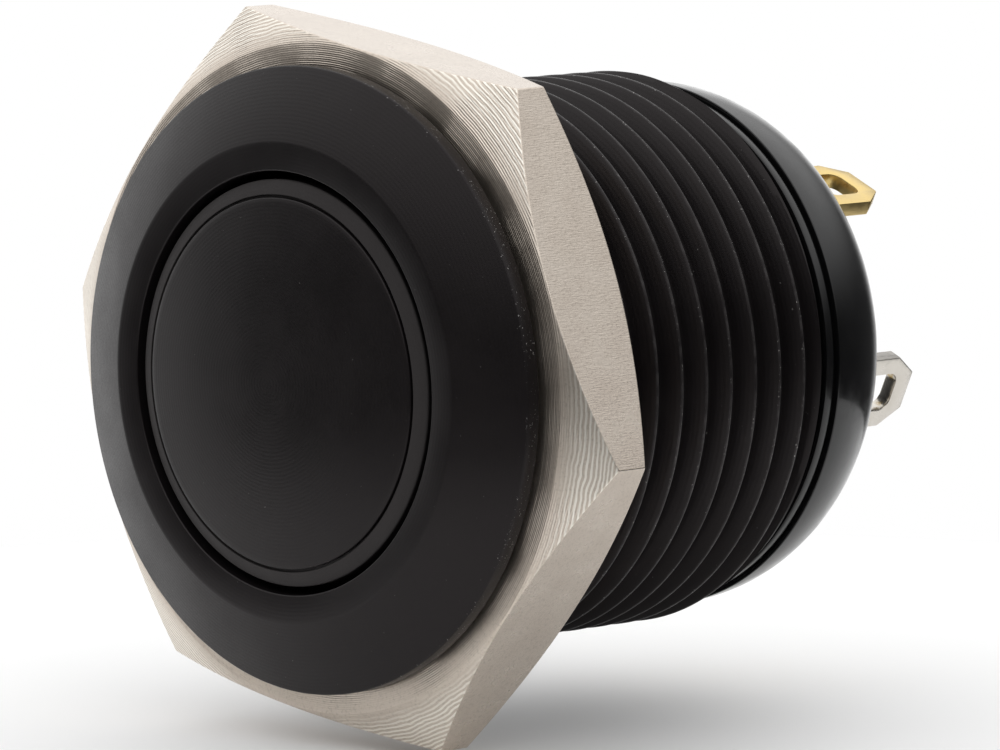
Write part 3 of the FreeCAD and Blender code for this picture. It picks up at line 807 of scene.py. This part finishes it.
def gloss_moulding(name):
    """Polished black moulding with a slight ripple."""
    finish = Finish(name, IOR=1.5, Specular_IOR_Level=0.4, Coat_Weight=0.15, Coat_Roughness=0.05)
    ripple = finish.noise(2.5, 2)
    dust = finish.span(finish.noise(0.12, 3, 0.7), 0.72, 0.78)
    base = finish.blend(ripple, shade(9, 9, 10), shade(16, 16, 17))
    finish.set(
        Base_Color=finish.blend(finish.sum("MULTIPLY", dust, 0.3), base, shade(120, 118, 116)),
        Roughness=finish.span(finish.noise(0.6, 4), 0.3, 0.7, 0.12, 0.24),
        Normal=finish.relief(ripple, 0.006, finish.relief(finish.noise(0.1, 2), 0.0005)),
    )
    return finish.material


def dark_moulding(name):
    """Glass-filled moulding, slightly grey and grainy."""
    finish = Finish(name, IOR=1.5)
    grain = finish.noise(0.15, 4)
    finish.set(
        Base_Color=finish.blend(grain, shade(48, 48, 50), shade(66, 66, 68)),
        Roughness=finish.span(grain, 0.3, 0.7, 0.45, 0.6),
        Normal=finish.relief(grain, 0.004),
    )
    return finish.material


def acetal(name):
    """Natural acetal, waxy and faintly translucent."""
    finish = Finish(name, IOR=1.48, Subsurface_Weight=0.15, Subsurface_Scale=0.0006)
    cloud = finish.noise(1.1, 3)
    finish.set(
        Base_Color=finish.blend(cloud, shade(226, 224, 216), shade(238, 237, 231)),
        Roughness=finish.span(cloud, 0.3, 0.7, 0.34, 0.44),
        Normal=finish.relief(finish.rings(0.12, 1.0), 0.0015),
    )
    return finish.material


def plated(name, dark, light, stain_colour, gloss=(0.16, 0.3)):
    """Stamped and plated strip: faint rolling lines, cloudy colour and small stains."""
    finish = Finish(name, Metallic=1.0)
    cloud = finish.noise(0.7, 4, 0.6)
    lines = finish.noise(0.05, 3, 0.6, place=finish.stretched(1.0, 0.08))
    stains = finish.span(finish.noise(0.22, 4, 0.7), 0.58, 0.74)
    base = finish.blend(cloud, dark, light)
    finish.set(
        Base_Color=finish.blend(finish.sum("MULTIPLY", stains, 0.4), base, stain_colour),
        Roughness=finish.span(cloud, 0.3, 0.7, *gloss),
        Normal=finish.relief(lines, 0.0012, finish.relief(cloud, 0.004)),
    )
    return finish.material


# ---- studio ----
CAMERA_PLACE = (0.17143, -0.16496, 0.02728)
CAMERA_TURN = (83.489, 0.0, 44.851)
CAMERA_LENS = 307.25
FLOOR_DROP = 0.0002
FLOOR_RADIUS = 0.04
FLOOR_MIDDLE = 0.009


def make_camera():
    data = bpy.data.cameras.new("camera")
    data.lens = CAMERA_LENS
    data.sensor_width = 36
    data.clip_start = 0.01
    data.clip_end = 10
    camera = bpy.data.objects.new("camera", data)
    camera.location = CAMERA_PLACE
    camera.rotation_euler = [math.radians(angle) for angle in CAMERA_TURN]
    bpy.context.scene.collection.objects.link(camera)
    bpy.context.scene.camera = camera


def make_floor():
    mesh = bmesh.new()
    bmesh.ops.create_circle(mesh, cap_ends=True, segments=96, radius=FLOOR_RADIUS)
    floor_place = (0, FLOOR_MIDDLE, cad_box[0].z - FLOOR_DROP)
    bmesh.ops.translate(mesh, vec=floor_place, verts=mesh.verts)
    data = bpy.data.meshes.new("floor")
    mesh.to_mesh(data)
    mesh.free()
    floor = bpy.data.objects.new("floor", data)
    bpy.context.scene.collection.objects.link(floor)
    finish = Finish("pale_floor", Roughness=0.6)
    tone = finish.blend(finish.noise(40, 3), shade(244, 244, 244), shade(248, 248, 248))
    finish.set(Base_Color=tone)
    data.materials.append(finish.material)


ROOM_DIM = 0.06
ROOM_BRIGHT = 1.3
BRIGHT_SIDE = (-1.0, 0.0, 0.0)
BRIGHT_BACK = (-0.3, 0.95, 0.0)


def make_world():
    """White to look at; for lighting, a tent that is bright overhead and on its far left side."""
    world = bpy.data.worlds.new("studio")
    world.use_nodes = True
    tree = world.node_tree

    def add(kind, **settings):
        node = tree.nodes.new(kind)
        for name, amount in settings.items():
            setattr(node, name, amount)
        return node

    def soft_step(source, start, end, low_value=0.0, high_value=1.0):
        node = add("ShaderNodeMapRange", interpolation_type="SMOOTHSTEP")
        tree.links.new(source, node.inputs["Value"])
        for name, amount in zip(("From Min", "From Max", "To Min", "To Max"),
                                (start, end, low_value, high_value)):
            node.inputs[name].default_value = amount
        return node.outputs[0]

    direction = add("ShaderNodeTexCoord").outputs["Generated"]

    def towards(aim):
        node = add("ShaderNodeVectorMath", operation="DOT_PRODUCT")
        tree.links.new(direction, node.inputs[0])
        node.inputs[1].default_value = aim
        return node.outputs["Value"]

    split = add("ShaderNodeSeparateXYZ")
    tree.links.new(direction, split.inputs[0])
    from_side = add("ShaderNodeMath", operation="MULTIPLY")
    tree.links.new(soft_step(towards(BRIGHT_SIDE), 0.1, 0.8), from_side.inputs[0])
    tree.links.new(soft_step(towards(BRIGHT_BACK), -0.6, 0.3), from_side.inputs[1])
    from_top = soft_step(split.outputs["Z"], -0.05, 0.75)
    lit = add("ShaderNodeMath", operation="MAXIMUM")
    tree.links.new(from_side.outputs[0], lit.inputs[0])
    tree.links.new(from_top, lit.inputs[1])
    room = soft_step(lit.outputs[0], 0.0, 1.0, ROOM_DIM, ROOM_BRIGHT)
    path = add("ShaderNodeLightPath")
    strength = add("ShaderNodeMix", data_type="FLOAT")
    tree.links.new(path.outputs["Is Camera Ray"], strength.inputs[0])
    tree.links.new(room, strength.inputs[2])
    strength.inputs[3].default_value = 1.0
    background = tree.nodes["Background"]
    background.inputs["Color"].default_value = (1, 1, 1, 1)
    tree.links.new(strength.outputs[0], background.inputs["Strength"])
    bpy.context.scene.world = world


def make_studio():
    make_camera()
    make_floor()
    make_world()
    bpy.context.scene.view_settings.view_transform = "Standard"


# ---- put together ----
bezel_finish = black_anodise("black_anodise", "bushing")
cap_finish = black_anodise("cap_anodise", "cap")
nut_finish = nickel("nickel_plate")
rubber_finish = rubber("nitrile_rubber")
tail_finish = gloss_moulding("gloss_moulding")
block_finish = dark_moulding("dark_moulding")
plunger_finish = acetal("natural_acetal")
gold_finish = plated(
    "gold_plate", shade(214, 184, 112), shade(240, 216, 152), shade(170, 128, 58), gloss=(0.26, 0.42),
)
silver_finish = plated(
    "silver_plate", shade(190, 184, 174), shade(222, 218, 211), shade(134, 126, 112),
)
steel_finish = plated(
    "spring_steel", shade(168, 168, 168), shade(196, 196, 197), shade(120, 118, 116),
)
tip_finish = plated(
    "silver_alloy", shade(214, 212, 208), shade(238, 237, 235), shade(150, 146, 140),
)
copper_finish = plated(
    "spring_copper",
    shade(196, 130, 92), shade(222, 160, 120), shade(140, 84, 52),
)

make_bushing(bezel_finish)
make_button_cap(cap_finish)
make_hex_nut(nut_finish)
make_panel_gasket(rubber_finish)
make_rear_base(tail_finish)
for number, (name, node, lug_radius, material, slot) in enumerate((
    ("gold_lug_upper", "no_terminal_a", GOLD_RADIUS, gold_finish, "gold_plate"),
    ("silver_lug_right", "nc_terminal_a", SILVER_RADIUS, silver_finish, "silver_plate"),
    ("gold_lug_lower", "no_terminal_b", GOLD_RADIUS, gold_finish, "gold_plate"),
    ("silver_lug_left", "nc_terminal_b", SILVER_RADIUS, silver_finish, "silver_plate"),
)):
    make_terminal(name, node, lug_radius, TERMINAL_TURN + 90 * number, material, slot)

return_coil = make_spring("return_coil", "return_spring", "housing", 0.35, 3.5, steel_finish)
contact_coil = make_spring("contact_coil", "contact_spring", "button", 0.22, 3.5, steel_finish)
rear_coil = make_spring("rear_coil", "nc_spring", "housing", 0.25, 4.5, steel_finish)
for coil, node, end, shortening in (
    (return_coil, "return_spring", "back", 1.5),
    (contact_coil, "contact_spring", "front", 0.6),
    (rear_coil, "nc_spring", "back", 1.05),
):
    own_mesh(coil)

node_finishes = {
    "cap_seal": rubber_finish,
    "base_seal": rubber_finish,
    "plunger": plunger_finish,
    "spacer_sleeve": plunger_finish,
    "snap_ring": steel_finish,
    "contact_block": block_finish,
    "no_bridge": copper_finish,
    "nc_bridge": copper_finish,
    "no_moving_tips": tip_finish,
    "nc_moving_tips": tip_finish,
    "no_fixed_tips": tip_finish,
    "nc_fixed_tips": tip_finish,
}
for node, material in node_finishes.items():
    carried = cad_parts[node]
    carried.data.materials.clear()
    carried.data.materials.append(material)

make_studio()
